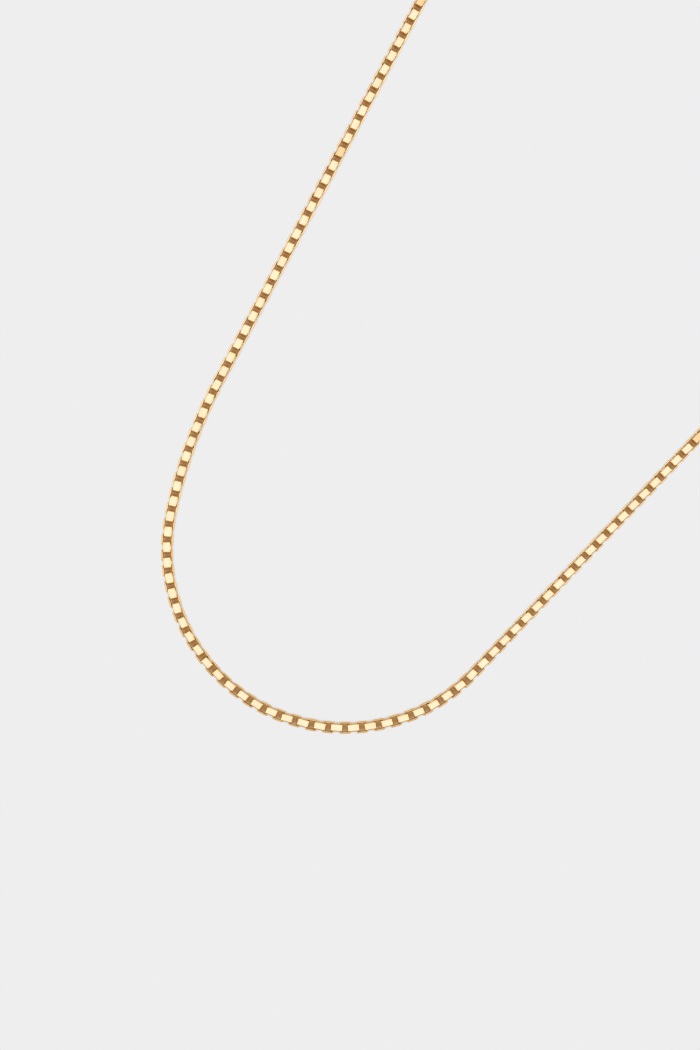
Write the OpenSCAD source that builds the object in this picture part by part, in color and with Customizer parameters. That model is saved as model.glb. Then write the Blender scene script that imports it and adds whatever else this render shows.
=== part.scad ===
// Box-chain necklace laid open on a flat surface: a chain of box links, a lobster clasp on
// one end and a flat catch tab on the other. +Z is up, the surface is z = 0, and the origin is the
// centre of the necklace's footprint. Every link is a closed band of flat strip, turned a quarter
// turn from its neighbours, so each end wall sits loose in the next link's window.

/* [Links] */
// Outer length of one link along the chain
link_l = 1.68; // [1.66:0.01:1.75]
// Outer width of one link across the chain
link_w = 1.62; // [1.58:0.01:1.66]
// Width of the strip that a link is bent from
strip_w = 1.0; // [0.9:0.01:1.05]
// Thickness of the strip
strip_t = 0.22; // [0.2:0.01:0.23]
// Outside radius of a link's four bends
bend_r = 0.28; // [0.25:0.01:0.34]
// Spacing of links along the arms, where they lie slightly pushed together
arm_pitch = 1.064; // [1.05:0.001:1.1]
// Spacing of links at the foot of the bow, where they are drawn out
bow_pitch = 1.16; // [1.12:0.005:1.17]
// Links in each named stretch of chain
links_per_stretch = 8; // [8]
// Named stretches of chain
stretches = 50; // [50]

/* [Lay of the chain] */
// Radius of the bow at the foot of the U
bow_r = 24.4; // [23:0.1:26]
// Turn from the foot of the bow to the clasp arm, in degrees
clasp_turn = 46.4; // [44:0.2:50]
// Turn of the tight bow on the tab arm's side, in degrees
tab_turn = 102; // [98:0.5:105]
// Radius of the wider bow that leads into the tab arm
ease_r = 70; // [62:1:84]
// Turn of that wider bow, in degrees
ease_turn = 16; // [14:0.5:18]
// Straight length of the clasp arm
clasp_straight = 53; // [48:1:60]
// Straight length of the tab arm
tab_straight = 62; // [58:1:68]
// Radius of the slow curves in which both arms run out
far_r = 670; // [600:10:840]

/* [Ends] */
// Links over which the chain twists to meet a leaning jump ring
twist_links = 10; // [9:1:14]
// Links over which it first rises off the surface
rise_links = 18; // [16:1:22]
// Lean of the jump rings from upright, in degrees
lean = 45; // [45]
// Wire of a jump ring
ring_wire = 0.45; // [0.4:0.01:0.47]
// Radius of a jump ring to the middle of its wire
ring_r = 1.35; // [1.3:0.01:1.4]
// Width of the saw cut where a jump ring closes
ring_cut = 0.05; // [0.04:0.01:0.08]
// Radius of the eye hole in the clasp and in the tab
eye_r = 0.88; // [0.86:0.01:0.9]
// Thickness of the clasp's eye and of the tab
eye_t = 0.6; // [0.5:0.01:0.62]

/* [Clasp] */
// Outer radius of the clasp's hook
hook_r = 2.7; // [2.6:0.05:2.8]
// Radius of the space inside the hook
hook_gap_r = 1.7; // [1.6:0.05:1.75]
// Distance from the eye to the middle of the hook
hook_x = 5.75; // [5.6:0.05:5.9]
// Radius of the rivet that the trigger turns on
rivet_r = 0.3; // [0.25:0.01:0.34]
// Thickness of the trigger
trigger_t = 0.9; // [0.8:0.05:1.0]
// Angle through which the trigger opens, in degrees
trigger_open = 24; // [18:1:26]

/* [Catch tab] */
// Radius of the hole that the clasp hooks into
catch_r = 1.15; // [1:0.05:1.3]
// Distance between the tab's two holes
tab_span = 4.4; // [4:0.1:5]
// Outer radius of the tab's wide end
tab_r = 2.0; // [1.9:0.05:2.1]

/* [Hidden] */
link_count = stretches * links_per_stretch;
// The link at the foot of the bow, and how many links on each side of it are drawn out
foot_link = link_count / 2 - 1;
drawn_links = 30;
// Length and width of a link's window
window = [link_l - 2 * strip_t, link_w - 2 * strip_t];

// Height of a jump ring's middle when it leans with its wire on the surface
end_z = ring_r * sin(lean) + ring_wire / 2;
// Where the ring's wire crosses the end link, measured from the link's middle
strip_bow = ring_r - ring_wire / 2 - sqrt(pow(ring_r - ring_wire / 2, 2) - pow(strip_w / 2, 2));
ring_seat = window[0] / 2 - strip_bow - ring_wire / 2 - 0.06;
// Where the ring's wire crosses an eye, measured from the eye's middle
eye_seat = 0.24;
eye_out_r = eye_r + 0.42;

// Trigger: its rivet, the middle of its tip and its half widths, from the eye's middle
pivot = [2.45, -1.35];
tip = [6.84, -1.3];
root_r = 0.58;
tip_r = 0.36;
arm_l = norm(tip - pivot);
arm_a = atan2(tip[1] - pivot[1], tip[0] - pivot[0]);
slot_t = trigger_t + 0.12;
// Spring: the middle of its pocket along the clasp, its foot on the trigger and the pocket's end
spring_x = 3.15;
spring_foot = -0.74;
spring_top = 0.93;
spring_r = 0.3;
spring_wire = 0.12;
spring_turns = 5;

gold = [0.93, 0.74, 0.40];
pale_gold = [0.96, 0.80, 0.50];
dark_gold = [0.80, 0.60, 0.30];

function chain_name(k) = str("chain_", k < 9 ? "0" : "", k + 1);

// The lay is two lists of legs that leave the foot of the bow: [length, degrees turned per mm].
// The last leg of each has no end.
function arc_leg(r, turn) = [r * turn * PI / 180, 180 / PI / r];
clasp_legs = [arc_leg(bow_r, clasp_turn), [clasp_straight, 0], arc_leg(far_r, 0)];
tab_legs = [arc_leg(-bow_r, -tab_turn), arc_leg(-ease_r, -ease_turn), [tab_straight, 0], arc_leg(far_r, 0)];

// Pose [x, y, heading] after s mm of one leg that starts at the pose p and turns k degrees per mm
function along(p, s, k) = k == 0
    ? [p[0] + s * cos(p[2]), p[1] + s * sin(p[2]), p[2]]
    : let (r = 180 / PI / k, h = p[2] + k * s)
      [p[0] + r * (sin(h) - sin(p[2])), p[1] - r * (cos(h) - cos(p[2])), h];

function walk(legs, s, p, i = 0) = s <= legs[i][0] || i == len(legs) - 1
    ? along(p, s, legs[i][1])
    : walk(legs, s - legs[i][0], along(p, legs[i][0], legs[i][1]), i + 1);

// Distance along the chain from the foot to link i, which need not be a whole number
function reach(i) = let (u = i - foot_link, v = max(-drawn_links, min(drawn_links, u)))
    arm_pitch * u + (bow_pitch - arm_pitch) / 2 * (v + drawn_links / PI * sin(180 * v / drawn_links));

function lay(i) = let (s = reach(i))
    s >= 0 ? walk(clasp_legs, s, [0, 0, 0])
           : let (p = walk(tab_legs, -s, [0, 0, 180])) [p[0], p[1], p[2] - 180];

// Share of a change that happens over the last n links: 0 along the chain, 1 at an end link
function end_share(i, n) = max(0, 1 - i / n, 1 - (link_count - 1 - i) / n);
function smooth(u) = u * u * (3 - 2 * u);
function height_at(i) = link_w / 2 + (end_z - link_w / 2) * smooth(end_share(i, rise_links));
function slope_at(i) = let (a = max(0, i - 0.5), b = min(link_count - 1, i + 0.5))
    atan2(height_at(b) - height_at(a), reach(b) - reach(a));

tab_link = lay(0);
clasp_link = lay(link_count - 1);
clasp_reach = ring_seat + 2 * ring_r + eye_seat + hook_x + hook_r;
tab_reach = ring_seat + 2 * ring_r + eye_seat + tab_span + tab_r;
middles = [for (i = [0 : link_count - 1]) lay(i)];
footprint_x = [min([for (m = middles) m[0]]) - link_w / 2,
               clasp_link[0] + (clasp_reach - hook_r) * cos(clasp_link[2]) + hook_r];
footprint_y = [min([for (m = middles) m[1]]) - link_w / 2,
               tab_link[1] - (tab_reach - tab_r) * sin(tab_link[2]) + tab_r];
origin = [(footprint_x[0] + footprint_x[1]) / 2, (footprint_y[0] + footprint_y[1]) / 2];

// Stands its children at link i, with x along the chain towards the clasp
module at_link(i) {
    p = lay(i);
    translate([p[0] - origin[0], p[1] - origin[1], height_at(i)])
        rotate([0, -slope_at(i), p[2]])
            children();
}

// Stands its children at the middle of the jump ring past an end link; side is -1 or 1
module at_ring(side) {
    p = side > 0 ? clasp_link : tab_link;
    translate([p[0] - origin[0], p[1] - origin[1], end_z])
        rotate([0, 0, p[2] + (side > 0 ? 0 : 180)])
            translate([ring_seat + ring_r, 0, 0])
                children();
}

module rounded_rectangle(size, r) {
    square([size[0], size[1] - 2 * r], center = true);
    square([size[0] - 2 * r, size[1]], center = true);
    for (x = [-1, 1], y = [-1, 1])
        translate([x * (size[0] / 2 - r), y * (size[1] / 2 - r)]) circle(r = r, $fn = 24);
}

// One band of strip, with its window facing up
module link() {
    linear_extrude(height = strip_w, center = true)
        difference() {
            rounded_rectangle([link_l, link_w], bend_r);
            rounded_rectangle(window, bend_r - strip_t);
        }
}

// Even links show a flat plate on top, odd ones their window; the ends twist over to the rings.
module chain_stretch(k) {
    for (i = [k * links_per_stretch : (k + 1) * links_per_stretch - 1]) {
        roll = (i % 2 == 0 ? 90 : 0) - lean * end_share(i, twist_links);
        color(i % 2 == 0 ? pale_gold : gold)
            at_link(i) rotate([roll, 0, 0]) link();
    }
}

// A round wire ring that leans, with its saw cut at the side
module jump_ring() {
    cut_a = ring_cut / ring_r * 180 / PI;
    color(gold)
        rotate([lean, 0, 0]) rotate([0, 0, 90 + cut_a / 2])
            rotate_extrude(angle = 360 - cut_a, $fn = 72)
                translate([ring_r, 0]) circle(r = ring_wire / 2, $fn = 24);
}

module tab_jump_ring() {
    at_ring(-1) jump_ring();
}

module clasp_jump_ring() {
    at_ring(1) jump_ring();
}

// Flat tab that tips down from its jump ring until its wide end lies on the surface
module catch_tab() {
    tip_reach = eye_seat + tab_span + tab_r;
    drop = asin((end_z - eye_t / 2) / tip_reach);
    color(gold)
        at_ring(-1) translate([ring_r, 0, 0]) rotate([0, drop, 0]) translate([eye_seat, 0, -eye_t / 2])
            difference() {
                linear_extrude(height = eye_t)
                    hull() {
                        circle(r = eye_out_r, $fn = 64);
                        translate([tab_span, 0]) circle(r = tab_r, $fn = 96);
                    }
                translate([0, 0, -1]) cylinder(r = eye_r, h = eye_t + 2, $fn = 48);
                translate([tab_span, 0, -1]) cylinder(r = catch_r, h = eye_t + 2, $fn = 64);
            }
}

// Stands its children at the middle of the clasp's eye
module at_eye() {
    at_ring(1) translate([ring_r + eye_seat, 0, 0]) children();
}

module clasp_outline() {
    difference() {
        union() {
            hull() {
                translate([1.25, 0]) circle(r = 0.75, $fn = 48);
                translate([3.0, -0.3]) circle(r = 1.85, $fn = 96);
            }
            translate([hook_x, 0]) circle(r = hook_r, $fn = 96);
        }
        translate([hook_x + 0.05, -0.1]) circle(r = hook_gap_r, $fn = 96);
        // The mouth that the trigger closes
        translate([4.0, -hook_r - 1]) square([2.5, hook_r + 0.3]);
    }
}

// Two shallow domes back to back, which thin the clasp towards its rim
module clasp_lens() {
    dome_r = 17;
    intersection_for(side = [-1, 1])
        translate([4, 0, side * (dome_r - end_z)]) sphere(r = dome_r, $fn = 240);
}

// The space that the trigger sweeps inside the body
module trigger_slot() {
    linear_extrude(height = slot_t, center = true)
        hull() {
            translate(pivot) circle(r = root_r + 0.15, $fn = 32);
            for (a = [-1, trigger_open + 3])
                translate(pivot) rotate(arm_a + a) translate([arm_l, 0]) circle(r = tip_r + 0.1, $fn = 32);
        }
}

module clasp_body() {
    color(gold)
        at_eye() difference() {
            union() {
                intersection() {
                    linear_extrude(height = 2 * end_z, center = true) clasp_outline();
                    clasp_lens();
                }
                cylinder(r = eye_out_r, h = eye_t, center = true, $fn = 64);
            }
            cylinder(r = eye_r, h = 2 * end_z + 1, center = true, $fn = 48);
            trigger_slot();
            translate([spring_x, pivot[1], 0])
                rotate([-90, 0, 0]) cylinder(r = 0.42, h = spring_top - pivot[1] + 0.02, $fn = 32);
            translate([pivot[0], pivot[1], 0])
                cylinder(r = rivet_r, h = 2 * end_z + 1, center = true, $fn = 32);
        }
}

// Trigger: a tapering arm with a thumb piece on its outside, closed in its rest position
module clasp_trigger() {
    color(pale_gold)
        at_eye() difference() {
            linear_extrude(height = trigger_t, center = true) {
                hull() {
                    translate(pivot) circle(r = root_r, $fn = 48);
                    translate(tip) circle(r = tip_r, $fn = 48);
                }
                hull() {
                    translate([4.35, -1.7]) circle(r = 0.3, $fn = 32);
                    translate([4.65, -2.55]) circle(r = 0.38, $fn = 32);
                }
            }
            translate([pivot[0], pivot[1], 0])
                cylinder(r = rivet_r + 0.04, h = trigger_t + 1, center = true, $fn = 32);
        }
}

module clasp_rivet() {
    color(dark_gold)
        at_eye() translate([pivot[0], pivot[1], 0])
            cylinder(r = rivet_r, h = 2 * end_z - 0.18, center = true, $fn = 32);
}

// Coil spring that holds the trigger shut, as one swept wire
module clasp_spring() {
    sides = 6;
    steps = 12;
    rings = spring_turns * steps;
    rise = (spring_top - spring_foot - spring_wire) / rings;
    points = [for (j = [0 : rings], m = [0 : sides - 1])
        let (a = 360 * j / steps, b = 360 * m / sides, r = spring_r + spring_wire / 2 * cos(b))
        [r * cos(a), spring_foot + spring_wire / 2 + rise * j + spring_wire / 2 * sin(b), r * sin(a)]];
    skin = [for (j = [0 : rings - 1], m = [0 : sides - 1])
        let (n = (m + 1) % sides)
        [j * sides + m, (j + 1) * sides + m, (j + 1) * sides + n, j * sides + n]];
    caps = [[for (m = [0 : sides - 1]) m], [for (m = [sides - 1 : -1 : 0]) rings * sides + m]];
    color(dark_gold)
        at_eye() translate([spring_x, 0, 0]) polyhedron(points, concat(skin, caps));
}

for (k = [0 : stretches - 1])
    chain_stretch(k);
tab_jump_ring();
catch_tab();
clasp_jump_ring();
clasp_body();
clasp_trigger();
clasp_spring();
clasp_rivet();
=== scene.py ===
"""Looks of the box-chain necklace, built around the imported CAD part. Lengths are in metres."""

import math
import random

import bmesh
import bpy
import numpy as np
from mathutils import Matrix, Vector


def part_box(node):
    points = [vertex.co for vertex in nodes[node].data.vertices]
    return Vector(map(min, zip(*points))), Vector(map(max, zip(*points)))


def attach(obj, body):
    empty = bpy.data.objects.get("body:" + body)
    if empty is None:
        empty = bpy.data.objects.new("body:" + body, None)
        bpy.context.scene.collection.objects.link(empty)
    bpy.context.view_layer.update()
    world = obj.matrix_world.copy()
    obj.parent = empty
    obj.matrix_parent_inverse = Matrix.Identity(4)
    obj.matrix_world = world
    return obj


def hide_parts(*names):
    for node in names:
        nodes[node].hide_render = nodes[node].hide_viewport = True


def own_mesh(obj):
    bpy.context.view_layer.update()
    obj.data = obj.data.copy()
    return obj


MM = 0.001
# Points of a CAD mesh closer than this are one point
WELD = 0.0001 * MM

# One link, as the CAD has it: outer length and width, strip width and outer bend radius
LINK_L = 1.68 * MM
LINK_W = 1.62 * MM
STRIP_W = 1.0 * MM
BEND_R = 0.28 * MM
# The strip is as thick as the CAD's where it closes the link and a little thicker along the sides
END_T = 0.22 * MM
SIDE_T = 0.30 * MM
# How far the rounding of the strip's edges reaches along its width and into its thickness
EDGE_ALONG = 0.18 * MM
EDGE_INTO = 0.09 * MM
# Steps round each of a link's bends
BEND_STEPS = 6
STRETCHES = 50
# The link at the foot of the U: its stretch, and its place in that stretch
FOOT_STRETCH = 25
FOOT_PLACE = 7
# Links whose face is painted yellower and darker than the others', a painted shade in place of a
# link tilted out of the overhead light: by stretch and place, and how strongly
PAINTED_DARK_LINKS = ((11, 6), (14, 4), (33, 2))
PAINTED_DARK_AMOUNT = 0.6
# Every link is tilted and dulled a little at random: the spread of its tilt about its own axes, in
# degrees, and of its dullness
CHANCE_SEED = 41
TILT_SPREAD = (1.2, 0.7, 0.5)
DULL_SPREAD = 0.06
# Links with the window up get painted shade, yellower and darker, where the chain bends: by its sag
# over this, up to a limit
FULL_SHADE_SAG = 2 * MM
MOST_BEND_SHADE = 0.9

# A jump ring's wire, and how finely it is drawn along and round
RING_WIRE_R = 0.225 * MM
RING_STEPS = 110
RING_SIDES = 20
# Its saw cut, and the length and taper of the rounding of its ends there
RING_HALF_CUT = 0.03 * MM
RING_END_LENGTH = 0.05 * MM
RING_END_TAPER = 0.2
RING_END_STEPS = 5
# The clasp's body is remeshed at this size and smoothed this often
CAST_VOXEL = 0.034 * MM
CAST_SMOOTHING = 36
# How far the rounding of an edge reaches on the other pieces, and its steps
TRIGGER_EDGE = 0.08 * MM
RIVET_EDGE = 0.09 * MM
TAB_EDGE = 0.10 * MM
EDGE_SEGMENTS = 4

# The view: straight down on a field this large, with its middle this far from the foot of the U
VIEW_FIELD = 0.144
VIEW_OFFSET = Vector((0.67 * MM, 27.8 * MM, 0.0))
CAMERA_HEIGHT = 0.40
# Brightness of the floor, and of the room past its edge
FLOOR_GREY = 0.855
# Painted shade on the floor: the brown it glows inside the chain's windows, where the links hide
# it, and in their deepest corners
SLOT_SHADE_BROWN = (0.41, 0.215, 0.085)
CORNER_SHADE_BROWN = (0.32, 0.15, 0.050)

# Noise scales of the gold's patches of colour, of its grain, and of its scratches, long along x
PATCH_SCALE = 700.0
GRAIN_SCALE = 5200.0
SCRATCH_SCALE = (900.0, 9000.0, 4000.0)

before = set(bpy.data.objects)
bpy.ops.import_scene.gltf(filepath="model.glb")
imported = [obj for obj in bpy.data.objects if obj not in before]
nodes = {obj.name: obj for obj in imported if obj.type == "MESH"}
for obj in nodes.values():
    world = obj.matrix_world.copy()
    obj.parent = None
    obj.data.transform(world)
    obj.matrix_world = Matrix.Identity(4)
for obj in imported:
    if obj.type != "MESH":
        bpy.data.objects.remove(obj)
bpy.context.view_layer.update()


# ---------------------------------------------------------------- mesh helpers

def cad_arrays(name):
    """Welded vertices and triangles of a CAD node."""
    mesh = nodes[name].data
    mesh.calc_loop_triangles()
    points = np.empty(len(mesh.vertices) * 3)
    mesh.vertices.foreach_get("co", points)
    triangles = np.empty(len(mesh.loop_triangles) * 3, dtype=np.int32)
    mesh.loop_triangles.foreach_get("vertices", triangles)
    points = points.reshape(-1, 3)
    _, first, welded = np.unique(np.round(points / WELD).astype(np.int64),
                                 axis=0, return_index=True, return_inverse=True)
    return points[first], welded.reshape(-1)[triangles].reshape(-1, 3)


def islands(count, triangles):
    """A label for each triangle, the same for all triangles of one solid."""
    label = np.arange(count)
    while True:
        lowest = label[triangles].min(axis=1)
        before = label.copy()
        for corner in range(3):
            np.minimum.at(label, triangles[:, corner], lowest)
        label = label[label]
        if np.array_equal(label, before):
            return label[triangles[:, 0]]


def link_frames(name, towards):
    """Centre and axes (along, across, window) of each link in a stretch, in order along it."""
    points, triangles = cad_arrays(name)
    which = islands(len(points), triangles)
    found = []
    for label in np.unique(which):
        corners = points[triangles[which == label]]
        cross = np.cross(corners[:, 1] - corners[:, 0], corners[:, 2] - corners[:, 0])
        area = np.linalg.norm(cross, axis=1)
        normal = cross / np.maximum(area, 1e-30)[:, None]
        middle = corners.mean(axis=1)
        centre = (middle * area[:, None]).sum(axis=0) / area.sum()
        spread = ((middle - centre) * area[:, None]).T @ (middle - centre)
        window = np.linalg.eigh(spread)[1][:, 0]
        # The walls face four ways square to the window, which a fourfold mean angle picks out.
        # The angle is counted from any direction that isn't the window's.
        slanting = [0.3, 0.5, 0.8]
        side = np.cross(window, slanting)
        side /= np.linalg.norm(side)
        other = np.cross(window, side)
        angle = np.arctan2(normal @ other, normal @ side)
        weight = area * (np.abs(normal @ window) < 0.2)
        turn = np.angle((weight * np.exp(4j * angle)).sum()) / 4
        choices = [math.cos(turn + q) * side + math.sin(turn + q) * other
                   for q in (0, math.pi / 2, math.pi, 3 * math.pi / 2)]
        along = max(choices, key=lambda c: float(c @ towards))
        found.append((centre, along, np.cross(window, along), window))
    return sorted(found, key=lambda f: float(f[0] @ towards))


def strip_section():
    """Points round the strip's section, as (depth from the outer face, place along the width), each
    with its normal and its flatness: 1 on the flats, 0 in the middle of a rounded edge."""
    # Degrees round an edge, and the flatness there
    edge = ((0, 1.0), (18, 0.45), (38, 0.0), (62, 0.1), (90, 1.0))
    out = []
    for quarter, (outer, sign_w) in enumerate(((1, 1), (-1, 1), (-1, -1), (1, -1))):
        for degrees, flatness in edge if quarter % 2 == 0 else reversed(edge):
            a = math.radians(degrees)
            inset = EDGE_INTO * (1 - math.cos(a))
            depth = inset if outer == 1 else END_T - inset
            wide = sign_w * (STRIP_W / 2 - EDGE_ALONG * (1 - math.sin(a)))
            normal = Vector((outer * math.cos(a) / EDGE_INTO, sign_w * math.sin(a) / EDGE_ALONG))
            out.append((depth, wide, normal.normalized(), flatness))
    return out


def link_path():
    """Points along the link's outline, each with its outward normal and its straightness."""
    out = []
    for corner in range(4):
        middle = math.radians(45 + 90 * corner)
        centre = Vector((math.copysign(LINK_L / 2 - BEND_R, math.cos(middle)),
                         math.copysign(LINK_W / 2 - BEND_R, math.sin(middle))))
        for step in range(BEND_STEPS + 1):
            a = math.radians(90 * corner + 90 * step / BEND_STEPS)
            normal = Vector((math.cos(a), math.sin(a)))
            straightness = (2 * step / BEND_STEPS - 1) ** 2
            out.append((centre + BEND_R * normal, normal, straightness))
    return out


def link_template():
    """Vertices, normals, flatness and quads of one link. It has x along the chain and z through
    its window."""
    path, section = link_path(), strip_section()
    points, normals, flats, quads = [], [], [], []
    rows, columns = len(path), len(section)
    for place, outward, straightness in path:
        thicker = 1 + (SIDE_T / END_T - 1) * outward.y ** 2
        for depth, wide, normal, flatness in section:
            points.append((*(place - outward * depth * thicker), wide))
            normals.append((*(outward * normal.x), normal.y))
            # Flatness, where the link gold paints its highlight
            facing_up = abs(normal.y)
            flats.append(flatness * (straightness + (1 - straightness) * facing_up))
    for row in range(rows):
        following = (row + 1) % rows
        for column in range(columns):
            beside = (column + 1) % columns
            quads.append((row * columns + column, following * columns + column,
                          following * columns + beside, row * columns + beside))
    return np.array(points), np.array(normals), flats, quads


def add_piece(name, mesh, body, material, node):
    """A new piece that stands for a CAD node and rides on its body."""
    piece = bpy.data.objects.new(name, mesh)
    bpy.context.scene.collection.objects.link(piece)
    mesh.materials.clear()
    mesh.materials.append(material)
    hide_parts(node)
    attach(piece, body)
    return piece


# ---------------------------------------------------------------- materials

class Nodes:
    """A small helper that adds and links shader nodes."""

    def __init__(self, name):
        self.material = bpy.data.materials.new(name)
        self.material.use_nodes = True
        self.tree = self.material.node_tree
        self.tree.nodes.clear()
        self.output = self.tree.nodes.new("ShaderNodeOutputMaterial")

    def add(self, kind, inputs=None, **settings):
        node = self.tree.nodes.new(kind)
        for key, value in settings.items():
            setattr(node, key, value)
        for key, value in (inputs or {}).items():
            if isinstance(value, bpy.types.NodeSocket):
                self.tree.links.new(value, node.inputs[key])
            else:
                node.inputs[key].default_value = value
        return node

    def ramp(self, value, stops):
        """A colour ramp with (position, colour) stops."""
        node = self.add("ShaderNodeValToRGB", {"Fac": value})
        elements = node.color_ramp.elements
        while len(elements) < len(stops):
            elements.new(0.5)
        for element, (position, colour) in zip(elements, stops):
            element.position = position
            element.color = colour if len(colour) == 4 else (*colour, 1)
        return node.outputs["Color"]


def gold(name, base, rough, grain=1.0, painted_highlight=None):
    """Polished metal: patches of slightly different colour, fine scratches and brighter worn edges.
    Where the mesh says it is flat, the colour goes over to the paler given one: a painted
    highlight, for flat faces that mirror the overhead light."""
    n = Nodes(name)
    place = n.add("ShaderNodeTexCoord").outputs["Object"]
    patches = n.add("ShaderNodeTexNoise", {"Vector": place, "Scale": PATCH_SCALE, "Detail": 3.0})
    fine = n.add("ShaderNodeTexNoise", {"Vector": place, "Scale": GRAIN_SCALE, "Detail": 4.0})
    deep = tuple(c * k for c, k in zip(base, (0.93, 0.88, 0.80)))
    pale = tuple(min(1.0, c * k) for c, k in zip(base, (1.02, 1.06, 1.14)))
    tint = n.ramp(patches.outputs["Fac"], [(0.3, deep), (0.55, base), (0.75, pale)])
    edge = n.ramp(n.add("ShaderNodeNewGeometry").outputs["Pointiness"],
                  [(0.5, (0, 0, 0)), (0.62, (1, 1, 1))])
    worn = n.add("ShaderNodeMix", {"Factor": edge, "A": tint, "B": (*pale, 1)}, data_type="RGBA")
    colour = worn.outputs["Result"]
    if painted_highlight:
        # Painted highlight: the flat faces of the links take a paler colour, as where they mirror
        # the overhead light
        flat = n.add("ShaderNodeAttribute", attribute_name="flat")
        highlight_patch_dark = tuple(c * 0.94 for c in painted_highlight)
        face = n.ramp(patches.outputs["Fac"], [(0.3, highlight_patch_dark), (0.6, painted_highlight)])
        colour = n.add("ShaderNodeMix", {"Factor": flat.outputs["Fac"], "A": colour, "B": face},
                       data_type="RGBA").outputs["Result"]
        # Painted shade: darker where links shade each other. Then yellower and darker by the mesh's
        # per-link value, which holds random dullness and painted shade.
        hidden = n.add("ShaderNodeAmbientOcclusion", {"Distance": 1.0 * MM}, samples=6)
        depth = n.ramp(hidden.outputs["AO"], [(0.15, (0.66, 0.50, 0.28)), (0.55, (1, 1, 1))])
        dull_and_shade = n.add("ShaderNodeAttribute", attribute_name="dull_and_shade")
        dulling_and_shade = n.ramp(dull_and_shade.outputs["Fac"], [(0.0, (1, 1, 1)), (1.0, (0.80, 0.65, 0.38))])
        for shade in (depth, dulling_and_shade):
            colour = n.add("ShaderNodeMix", {"Factor": 1.0, "A": colour, "B": shade},
                           data_type="RGBA", blend_type="MULTIPLY").outputs["Result"]
    stretched = n.add("ShaderNodeMapping", {"Vector": place, "Scale": SCRATCH_SCALE})
    scratches = n.add("ShaderNodeTexNoise", {
        "Vector": stretched.outputs["Vector"], "Scale": 1.0, "Detail": 6.0})
    wear = n.add("ShaderNodeMath", {
        0: fine.outputs["Fac"], 1: scratches.outputs["Fac"]}, operation="ADD").outputs[0]
    roughness = n.add("ShaderNodeMapRange", {
        "Value": wear, "From Min": 0.7, "From Max": 1.3,
        "To Min": rough * 0.7, "To Max": rough * 1.5})
    bump = n.add("ShaderNodeBump", {
        "Height": wear, "Strength": 0.12 * grain, "Distance": 0.02 * MM})
    shader = n.add("ShaderNodeBsdfPrincipled", {
        "Base Color": colour, "Metallic": 1.0,
        "Roughness": roughness.outputs["Result"], "Normal": bump.outputs["Normal"]})
    n.tree.links.new(shader.outputs[0], n.output.inputs["Surface"])
    return n.material


def floor_material():
    """A pale, evenly glowing surface with painted shade: its glow turns brown deep inside the
    chain's windows, where the links hide it.
    """
    n = Nodes("pale_floor")
    hidden = n.add("ShaderNodeAmbientOcclusion", {"Distance": 2.0 * MM}, samples=12)
    # Painted shade: the glow goes brown where the chain hides the floor, darkest in the corners of
    # its windows
    slot_shade_tone = n.ramp(hidden.outputs["AO"], [(0.10, CORNER_SHADE_BROWN), (0.20, SLOT_SHADE_BROWN),
                                         (0.37, SLOT_SHADE_BROWN), (0.43, (FLOOR_GREY,) * 3)])
    glow = n.add("ShaderNodeEmission", {"Color": slot_shade_tone, "Strength": 1.0})
    n.tree.links.new(glow.outputs[0], n.output.inputs["Surface"])
    return n.material


chain_gold = gold("chain_gold", (1.0, 0.71, 0.30), rough=0.16, painted_highlight=(1.0, 0.825, 0.58))
finding_gold = gold("finding_gold", (1.0, 0.73, 0.41), rough=0.14, grain=0.6)
spring_steel = gold("spring_steel", (0.62, 0.60, 0.56), rough=0.25)


# ---------------------------------------------------------------- chain

stretch_names = ["chain_%02d" % (k + 1) for k in range(STRETCHES)]
stretch_middles = [np.array(sum(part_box(name), Vector())) / 2 for name in stretch_names]
template_points, template_normals, template_flats, template_quads = link_template()
chance = random.Random(CHANCE_SEED)
foot = None

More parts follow.
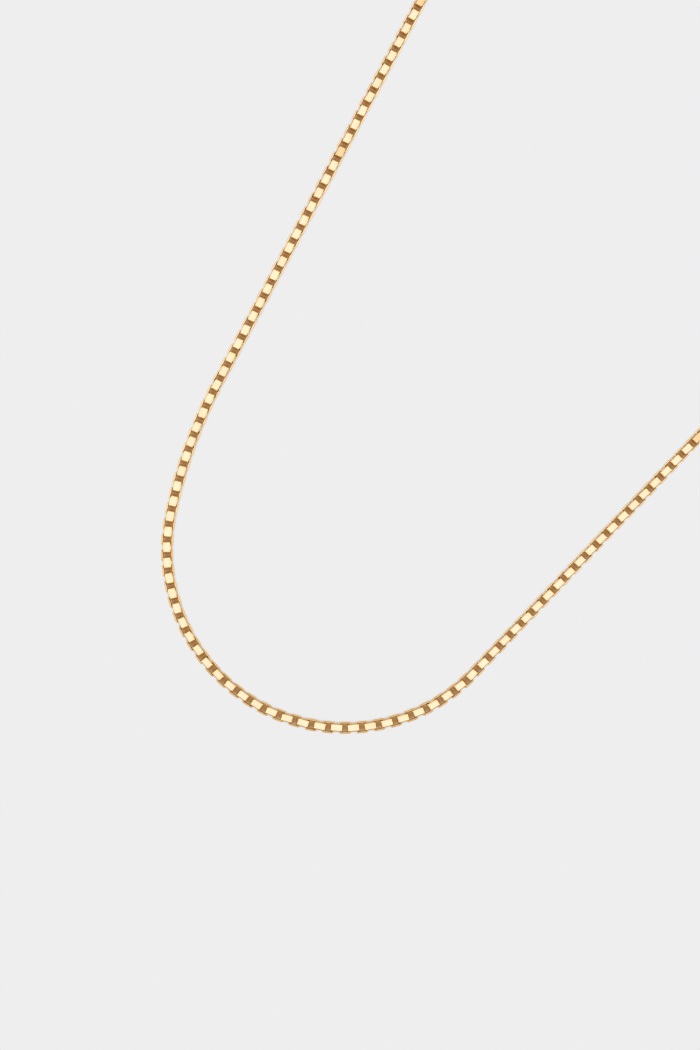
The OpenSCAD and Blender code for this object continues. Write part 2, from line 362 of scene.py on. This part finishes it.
for k, name in enumerate(stretch_names):
    before, after = stretch_middles[max(k - 1, 0)], stretch_middles[min(k + 1, STRETCHES - 1)]
    towards = (after - before) / np.linalg.norm(after - before)
    # How sharply the chain lies bent here, from the sag of this stretch between its neighbours
    at_an_end = k in (0, STRETCHES - 1)
    sag = 0.0 if at_an_end else np.linalg.norm(stretch_middles[k] - (before + after) / 2)
    frames = link_frames(name, towards)
    if k == FOOT_STRETCH - 1:
        foot = Vector(frames[FOOT_PLACE][0])
    points, normals, quads, dulls_and_shades = [], [], [], []
    for place, (centre, along, across, window) in enumerate(frames):
        axes = np.array((along, across, window))
        tilt = [math.radians(chance.gauss(0, spread)) for spread in TILT_SPREAD]
        turn = np.array(Matrix.Rotation(tilt[0], 3, "X") @ Matrix.Rotation(tilt[1], 3, "Y")
                        @ Matrix.Rotation(tilt[2], 3, "Z"))
        start = len(points) * len(template_points)
        points.append((template_points @ turn.T) @ axes + centre)
        normals.append((template_normals @ turn.T) @ axes)
        quads += [tuple(v + start for v in quad) for quad in template_quads]
        window_up = abs(window[2]) > 0.5
        # Painted shade: links with the window up are painted darker and yellower where the chain
        # bends; a little random dullness comes on top
        bend_shade = min(MOST_BEND_SHADE, sag / FULL_SHADE_SAG) if window_up else 0.0
        dull_and_shade = abs(chance.gauss(0, DULL_SPREAD)) + bend_shade
        # Painted shade: the listed links are painted darker and yellower, as if tilted out of the
        # overhead light
        if (k + 1, place) in PAINTED_DARK_LINKS:
            dull_and_shade = PAINTED_DARK_AMOUNT
        dulls_and_shades += [dull_and_shade] * len(template_points)
    mesh = bpy.data.meshes.new("links_%02d" % (k + 1))
    mesh.from_pydata(np.concatenate(points).tolist(), [], quads)
    mesh.polygons.foreach_set("use_smooth", [True] * len(mesh.polygons))
    mesh.normals_split_custom_set_from_vertices(np.concatenate(normals).tolist())
    # Flatness drives the painted highlight; the per-link value holds random dullness and painted
    # shade
    for attribute, values in (("flat", template_flats * len(frames)), ("dull_and_shade", dulls_and_shades)):
        mesh.attributes.new(attribute, "FLOAT", "POINT").data.foreach_set("value", values)
    mesh.update()
    add_piece("links_%02d" % (k + 1), mesh, name, chain_gold, name)


# ---------------------------------------------------------------- clasp, tab and rings

def copy_of(name):
    """A welded copy of a CAD node's mesh."""
    work = bmesh.new()
    work.from_mesh(nodes[name].data)
    bmesh.ops.remove_doubles(work, verts=work.verts, dist=WELD)
    mesh = bpy.data.meshes.new(name + "_copy")
    work.to_mesh(mesh)
    work.free()
    return mesh


def with_modifiers(mesh, *modifiers):
    """The mesh after the modifiers, which are (type, settings) pairs."""
    work = bpy.data.objects.new("work", mesh)
    bpy.context.scene.collection.objects.link(work)
    for kind, settings in modifiers:
        modifier = work.modifiers.new(kind, kind)
        for key, value in settings.items():
            setattr(modifier, key, value)
    evaluated = work.evaluated_get(bpy.context.evaluated_depsgraph_get())
    result = bpy.data.meshes.new_from_object(evaluated)
    bpy.data.objects.remove(work)
    result.polygons.foreach_set("use_smooth", [True] * len(result.polygons))
    return result


def cast_form(name):
    """The CAD form as a cast and tumbled piece: its edges softened all over."""
    return with_modifiers(
        copy_of(name),
        ("REMESH", {"mode": "VOXEL", "voxel_size": CAST_VOXEL}),
        ("SMOOTH", {"factor": 0.5, "iterations": CAST_SMOOTHING}))


def pressed_form(name, edge):
    """The CAD form as if cut from plate: its rims rounded, and its two faces kept level."""
    mesh = copy_of(name)
    work = bmesh.new()
    work.from_mesh(mesh)
    bmesh.ops.dissolve_limit(work, angle_limit=math.radians(1), verts=work.verts, edges=work.edges)
    level = max(work.faces, key=lambda face: face.calc_area()).normal.copy()
    rims = [e for e in work.edges if e.calc_face_angle(0) > math.radians(60)]
    bmesh.ops.bevel(work, geom=rims, offset=edge, segments=EDGE_SEGMENTS, profile=0.5,
                    affect="EDGES", clamp_overlap=False)
    for face in work.faces:
        face.smooth = abs(face.normal.dot(level)) < 0.999
    work.to_mesh(mesh)
    work.free()
    return mesh


def round_edged(name, width):
    """The CAD form with its sharp edges rounded."""
    mesh = copy_of(name)
    work = bmesh.new()
    work.from_mesh(mesh)
    bmesh.ops.dissolve_limit(work, angle_limit=math.radians(1), verts=work.verts, edges=work.edges)
    work.to_mesh(mesh)
    work.free()
    return with_modifiers(
        mesh,
        ("BEVEL", {"width": width, "segments": EDGE_SEGMENTS, "limit_method": "ANGLE",
                   "angle_limit": math.radians(50)}),
        ("WEIGHTED_NORMAL", {}))


def ring_form(name):
    """A round wire ring in the place of the CAD's, with rounded ends at its saw cut."""
    points, _ = cad_arrays(name)
    centre = points.mean(axis=0)
    axes = np.linalg.eigh((points - centre).T @ (points - centre))[1]
    normal, side = axes[:, 0], axes[:, 1]
    other = np.cross(normal, side)
    flat = np.stack(((points - centre) @ side, (points - centre) @ other), axis=1)
    middle_r = np.linalg.norm(flat, axis=1).max() - RING_WIRE_R

    # The saw cut is the widest gap between the CAD's points round the ring
    angles = np.unique(np.round(np.arctan2(flat[:, 1], flat[:, 0]), 5))
    gaps = np.diff(np.append(angles, angles[0] + 2 * math.pi))
    widest = int(gaps.argmax())
    half_cut = RING_HALF_CUT / middle_r
    begin = angles[widest] + gaps[widest] / 2 + half_cut
    end = begin + 2 * math.pi - 2 * half_cut

    # The wire's path: angles round the ring, each with the share of the wire's thickness there
    end_length = RING_END_LENGTH / middle_r
    head = []
    for step in range(RING_END_STEPS, 0, -1):
        a = math.pi / 2 * step / RING_END_STEPS
        thickness = 1 - RING_END_TAPER * (1 - math.cos(a))
        head.append((begin + end_length * (1 - math.sin(a)), thickness))
    middle = []
    for step in range(RING_STEPS + 1):
        a = begin + (end - begin) * step / RING_STEPS
        if begin + end_length < a < end - end_length:
            middle.append((a, 1.0))
    tail = [(begin + end - a, thickness) for a, thickness in reversed(head)]
    path = head + middle + tail

    vertices, faces = [], []
    for a, thickness in path:
        spoke = math.cos(a) * side + math.sin(a) * other
        r = RING_WIRE_R * thickness
        for j in range(RING_SIDES):
            b = 2 * math.pi * j / RING_SIDES
            outward = spoke * (middle_r + r * math.cos(b))
            vertices.append(centre + outward + normal * (r * math.sin(b)))
    for i in range(len(path) - 1):
        this, following = i * RING_SIDES, (i + 1) * RING_SIDES
        for j in range(RING_SIDES):
            beside = (j + 1) % RING_SIDES
            faces.append((this + j, this + beside, following + beside, following + j))
    last = (len(path) - 1) * RING_SIDES
    faces.append(tuple(range(RING_SIDES)))
    faces.append(tuple(last + j for j in reversed(range(RING_SIDES))))
    mesh = bpy.data.meshes.new(name + "_wire")
    mesh.from_pydata([tuple(v) for v in vertices], [], faces)
    work = bmesh.new()
    work.from_mesh(mesh)
    bmesh.ops.recalc_face_normals(work, faces=work.faces)
    work.to_mesh(mesh)
    work.free()
    mesh.polygons.foreach_set("use_smooth", [True] * len(mesh.polygons))
    return mesh


def add_finding(name, mesh, body, node):
    add_piece(name, mesh, body, finding_gold, node)


add_finding("clasp_shell", cast_form("clasp_body"), "clasp", "clasp_body")
add_finding("trigger_arm", pressed_form("clasp_trigger", TRIGGER_EDGE), "trigger", "clasp_trigger")
add_finding("rivet_pin", round_edged("clasp_rivet", RIVET_EDGE), "clasp", "clasp_rivet")
coil = add_piece("spring_coil", with_modifiers(copy_of("clasp_spring"), ("SUBSURF", {"levels": 2})),
                 "clasp", spring_steel, "clasp_spring")
add_finding("tab_plate", pressed_form("catch_tab", TAB_EDGE), "catch_tab", "catch_tab")
add_finding("tab_ring", ring_form("tab_jump_ring"), "tab_jump_ring", "tab_jump_ring")
add_finding("clasp_ring", ring_form("clasp_jump_ring"), "clasp_jump_ring", "clasp_jump_ring")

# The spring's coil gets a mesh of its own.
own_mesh(coil)


# ---------------------------------------------------------------- floor, light and camera

# The floor is off centre, so that the diagonal between its two triangles passes far from the
# necklace.
bpy.ops.mesh.primitive_plane_add(size=6.0, location=(0.5, -0.5, -0.02 * MM))
floor = bpy.context.object
floor.name = "floor"
floor.data.materials.append(floor_material())

view_middle = Vector((foot.x, foot.y, 0)) + VIEW_OFFSET


def softbox(name, place, size, radiance, colour=(1, 1, 1)):
    """A rectangular light that faces the middle of the view, with an even surface radiance."""
    light = bpy.data.lights.new(name, "AREA")
    light.shape = "RECTANGLE"
    light.size, light.size_y = size
    light.energy = math.pi * size[0] * size[1] * radiance
    light.color = colour
    lamp = bpy.data.objects.new(name, light)
    bpy.context.scene.collection.objects.link(lamp)
    lamp.location = (view_middle.x + place[0], view_middle.y + place[1], place[2])
    lamp.rotation_euler = (view_middle - lamp.location).to_track_quat("-Z", "Y").to_euler()


softbox("overhead_softbox", (0, 0.02, 0.5), (0.6, 0.6), 0.58, (1.0, 1.0, 1.15))
softbox("ceiling", (0, 0, 0.9), (2.2, 1.6), 0.34)
softbox("left_softbox", (-0.6, 0.05, 0.35), (0.6, 0.7), 1.1)
softbox("right_softbox", (0.6, 0.05, 0.35), (0.6, 0.7), 1.0)
softbox("back_softbox", (0, 0.7, 0.4), (0.6, 0.4), 0.3)

# The room is dim and warm where the metal mirrors it, and as pale as the floor where it is seen
# directly, past the floor's edge.
world = bpy.data.worlds.new("studio")
bpy.context.scene.world = world
world.use_nodes = True
room = world.node_tree
mirrored = room.nodes["Background"]
mirrored.inputs["Color"].default_value = (0.27, 0.20, 0.11, 1)
seen = room.nodes.new("ShaderNodeBackground")
seen.inputs["Color"].default_value = (FLOOR_GREY, FLOOR_GREY, FLOOR_GREY, 1)
rays = room.nodes.new("ShaderNodeLightPath")
mix = room.nodes.new("ShaderNodeMixShader")
room.links.new(rays.outputs["Is Camera Ray"], mix.inputs["Fac"])
room.links.new(mirrored.outputs["Background"], mix.inputs[1])
room.links.new(seen.outputs["Background"], mix.inputs[2])
room.links.new(mix.outputs["Shader"], room.nodes["World Output"].inputs["Surface"])

camera_data = bpy.data.cameras.new("camera")
camera = bpy.data.objects.new("camera", camera_data)
bpy.context.scene.collection.objects.link(camera)
camera.location = (view_middle.x, view_middle.y, CAMERA_HEIGHT)
camera_data.sensor_fit = "VERTICAL"
camera_data.sensor_height = 36.0
camera_data.lens = camera_data.sensor_height * (CAMERA_HEIGHT - LINK_W / 2) / VIEW_FIELD
camera_data.clip_start = 0.005
bpy.context.scene.camera = camera
bpy.context.scene.view_settings.view_transform = "Standard"
